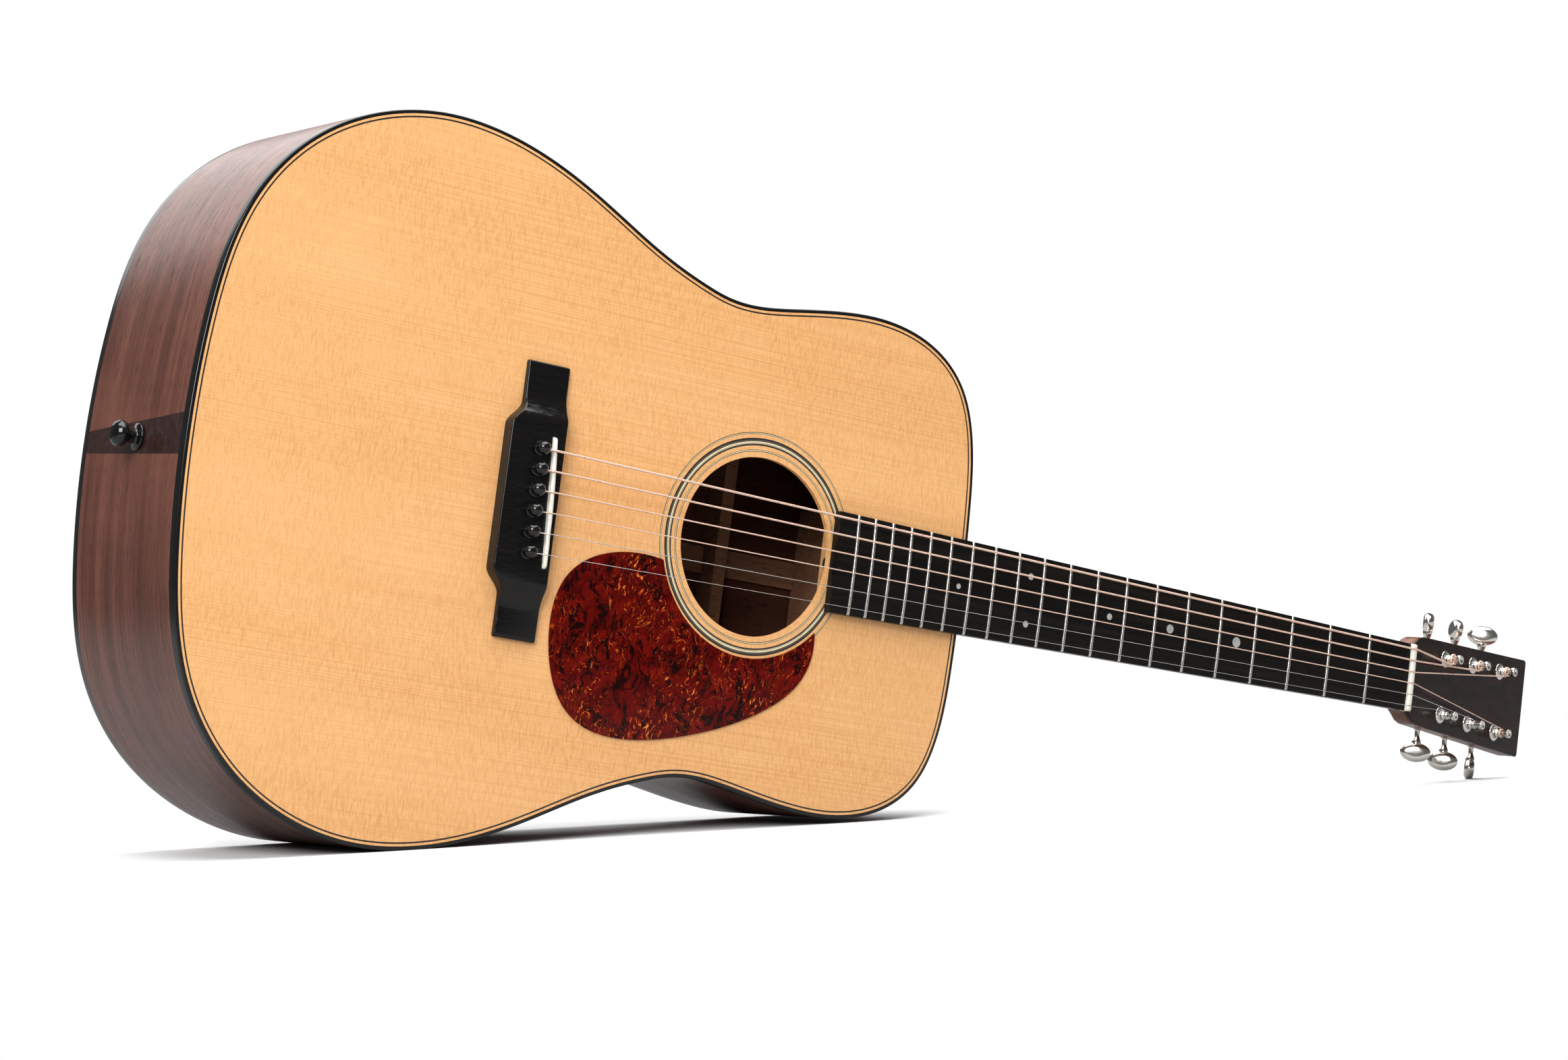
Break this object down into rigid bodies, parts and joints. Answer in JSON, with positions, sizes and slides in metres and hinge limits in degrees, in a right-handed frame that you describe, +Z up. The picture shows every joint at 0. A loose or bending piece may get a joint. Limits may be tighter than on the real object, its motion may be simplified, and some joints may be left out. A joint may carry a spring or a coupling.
{
  "type": "acoustic guitar",
  "caption": "Steel-string acoustic guitar: waisted hollow body with braced top and round soundhole, fretted neck, slotted bridge with pins, and open worm-gear tuners.",
  "frame": {"origin": "on the floor under the middle of the bounding box, with the guitar standing on its treble side on the lower bout and the last treble tuner knob", "axes": "+X towards the headstock, +Z up through the bass side, the soundboard faces -Y"},
  "size_m": [1.021, 0.141, 0.395],
  "materials": {
    "spruce_top": "glossy lacquer over fine straight grain",
    "mahogany_body": "glossy lacquer over open-pored dark mahogany",
    "mahogany_neck": "satin dark-stained mahogany",
    "ebony": "oiled satin",
    "rosewood": "glossy dark face veneer",
    "brace_spruce": "bare planed wood",
    "block_wood": "bare sawn wood",
    "black_binding": "polished black binding under lacquer",
    "purfling_lines": "fine dark and pale lines under lacquer",
    "tortoise": "polished mottled dark red with orange flecks",
    "bone": "polished bone",
    "fret_nickel": "polished nickel silver",
    "pearl": "mother of pearl",
    "rod_steel": "plain steel rod",
    "tuner_nickel": "polished nickel plate",
    "plain_steel": "bright plain wire",
    "bronze_wound": "bronze wire winding",
    "pin_black": "polished black"
  },
  "bodies": {
    "root": {"soundboard": "spruce_top", "back_plate": "mahogany_body", "side_bass": "mahogany_body", "side_treble": "mahogany_body", "end_graft": "ebony", "neck_block": "block_wood", "tail_block": "block_wood", "lining_top": "block_wood", "lining_back": "block_wood", "x_brace": "brace_spruce", "tone_bars": "brace_spruce", "finger_braces": "brace_spruce", "transverse_brace": "brace_spruce", "back_braces": "brace_spruce", "back_center_strip": "brace_spruce", "bridge_plate": "block_wood", "binding_top": "black_binding", "binding_back": "black_binding", "purfling": "purfling_lines", "rosette": "purfling_lines", "pickguard": "tortoise", "bridge": "ebony", "saddle": "bone", "neck": "mahogany_neck", "heel_cap": "ebony", "truss_rod": "rod_steel", "fingerboard": "ebony", "frets": "fret_nickel", "fingerboard_dots": "pearl", "nut": "bone", "headplate": "rosewood", "tuner_plates": "tuner_nickel", "tuner_bushings": "tuner_nickel", "tuner_screws": "tuner_nickel", "string_1": "plain_steel", "string_2": "plain_steel", "string_3": "bronze_wound", "string_4": "bronze_wound", "string_5": "bronze_wound", "string_6": "bronze_wound"},
    "bridge_pin_1": {"bridge_pin_1": "pin_black"},
    "bridge_pin_2": {"bridge_pin_2": "pin_black"},
    "bridge_pin_3": {"bridge_pin_3": "pin_black"},
    "bridge_pin_4": {"bridge_pin_4": "pin_black"},
    "bridge_pin_5": {"bridge_pin_5": "pin_black"},
    "bridge_pin_6": {"bridge_pin_6": "pin_black"},
    "end_pin": {"end_pin": "pin_black"},
    "truss_rod_nut": {"truss_rod_nut": "rod_steel"},
    "tuner_knob_1": {"tuner_knob_1": "tuner_nickel"},
    "tuner_post_1": {"tuner_post_1": "tuner_nickel"},
    "tuner_knob_2": {"tuner_knob_2": "tuner_nickel"},
    "tuner_post_2": {"tuner_post_2": "tuner_nickel"},
    "tuner_knob_3": {"tuner_knob_3": "tuner_nickel"},
    "tuner_post_3": {"tuner_post_3": "tuner_nickel"},
    "tuner_knob_4": {"tuner_knob_4": "tuner_nickel"},
    "tuner_post_4": {"tuner_post_4": "tuner_nickel"},
    "tuner_knob_5": {"tuner_knob_5": "tuner_nickel"},
    "tuner_post_5": {"tuner_post_5": "tuner_nickel"},
    "tuner_knob_6": {"tuner_knob_6": "tuner_nickel"},
    "tuner_post_6": {"tuner_post_6": "tuner_nickel"}
  },
  "joints": [
    {"name": "bridge_pin_1_pull", "type": "slide", "parent": "root", "child": "bridge_pin_1", "axis": [0, -1, 0], "range_m": [0, 0.03]},
    {"name": "bridge_pin_2_pull", "type": "slide", "parent": "root", "child": "bridge_pin_2", "axis": [0, -1, 0], "range_m": [0, 0.03]},
    {"name": "bridge_pin_3_pull", "type": "slide", "parent": "root", "child": "bridge_pin_3", "axis": [0, -1, 0], "range_m": [0, 0.03]},
    {"name": "bridge_pin_4_pull", "type": "slide", "parent": "root", "child": "bridge_pin_4", "axis": [0, -1, 0], "range_m": [0, 0.03]},
    {"name": "bridge_pin_5_pull", "type": "slide", "parent": "root", "child": "bridge_pin_5", "axis": [0, -1, 0], "range_m": [0, 0.03]},
    {"name": "bridge_pin_6_pull", "type": "slide", "parent": "root", "child": "bridge_pin_6", "axis": [0, -1, 0], "range_m": [0, 0.03]},
    {"name": "end_pin_pull", "type": "slide", "parent": "root", "child": "end_pin", "axis": [-0.9849, 0, 0.1731], "range_m": [0, 0.028]},
    {"name": "truss_rod_nut_turn", "type": "hinge", "parent": "root", "child": "truss_rod_nut", "pos_m": [-0.08087, -0.04595, 0.14829], "axis": [0.9849, 0, -0.1731], "range_deg": [-180, 180]},
    {"name": "tuner_knob_1_turn", "type": "hinge", "parent": "root", "child": "tuner_knob_1", "pos_m": [0.40303, -0.02328, 0.04465], "axis": [-0.1731, 0, -0.9849], "continuous": true},
    {"name": "tuner_post_1_turn", "type": "hinge", "parent": "root", "child": "tuner_post_1", "pos_m": [0.39969, -0.04557, 0.04524], "axis": [0.2715, -0.9613, -0.0477], "continuous": true},
    {"name": "tuner_knob_2_turn", "type": "hinge", "parent": "root", "child": "tuner_knob_2", "pos_m": [0.43739, -0.01322, 0.03749], "axis": [-0.1731, 0, -0.9849], "continuous": true},
    {"name": "tuner_post_2_turn", "type": "hinge", "parent": "root", "child": "tuner_post_2", "pos_m": [0.43406, -0.03551, 0.03808], "axis": [0.2715, -0.9613, -0.0477], "continuous": true},
    {"name": "tuner_knob_3_turn", "type": "hinge", "parent": "root", "child": "tuner_knob_3", "pos_m": [0.47176, -0.00315, 0.03034], "axis": [-0.1731, 0, -0.9849], "continuous": true},
    {"name": "tuner_post_3_turn", "type": "hinge", "parent": "root", "child": "tuner_post_3", "pos_m": [0.46843, -0.02545, 0.03092], "axis": [0.2715, -0.9613, -0.0477], "continuous": true},
    {"name": "tuner_knob_4_turn", "type": "hinge", "parent": "root", "child": "tuner_knob_4", "pos_m": [0.47886, -0.00315, 0.07072], "axis": [0.1731, 0, 0.9849], "continuous": true},
    {"name": "tuner_post_4_turn", "type": "hinge", "parent": "root", "child": "tuner_post_4", "pos_m": [0.47552, -0.02545, 0.0713], "axis": [0.2715, -0.9613, -0.0477], "continuous": true},
    {"name": "tuner_knob_5_turn", "type": "hinge", "parent": "root", "child": "tuner_knob_5", "pos_m": [0.44411, -0.01322, 0.07571], "axis": [0.1731, 0, 0.9849], "continuous": true},
    {"name": "tuner_post_5_turn", "type": "hinge", "parent": "root", "child": "tuner_post_5", "pos_m": [0.44078, -0.03551, 0.07629], "axis": [0.2715, -0.9613, -0.0477], "continuous": true},
    {"name": "tuner_knob_6_turn", "type": "hinge", "parent": "root", "child": "tuner_knob_6", "pos_m": [0.40937, -0.02328, 0.0807], "axis": [0.1731, 0, 0.9849], "continuous": true},
    {"name": "tuner_post_6_turn", "type": "hinge", "parent": "root", "child": "tuner_post_6", "pos_m": [0.40603, -0.04557, 0.08128], "axis": [0.2715, -0.9613, -0.0477], "continuous": true}
  ],
  "couplings": [
    {"joint": "tuner_post_1_turn", "follows": "tuner_knob_1_turn", "ratio": 0.071429},
    {"joint": "tuner_post_2_turn", "follows": "tuner_knob_2_turn", "ratio": 0.071429},
    {"joint": "tuner_post_3_turn", "follows": "tuner_knob_3_turn", "ratio": 0.071429},
    {"joint": "tuner_post_4_turn", "follows": "tuner_knob_4_turn", "ratio": -0.071429},
    {"joint": "tuner_post_5_turn", "follows": "tuner_knob_5_turn", "ratio": -0.071429},
    {"joint": "tuner_post_6_turn", "follows": "tuner_knob_6_turn", "ratio": -0.071429}
  ]
}
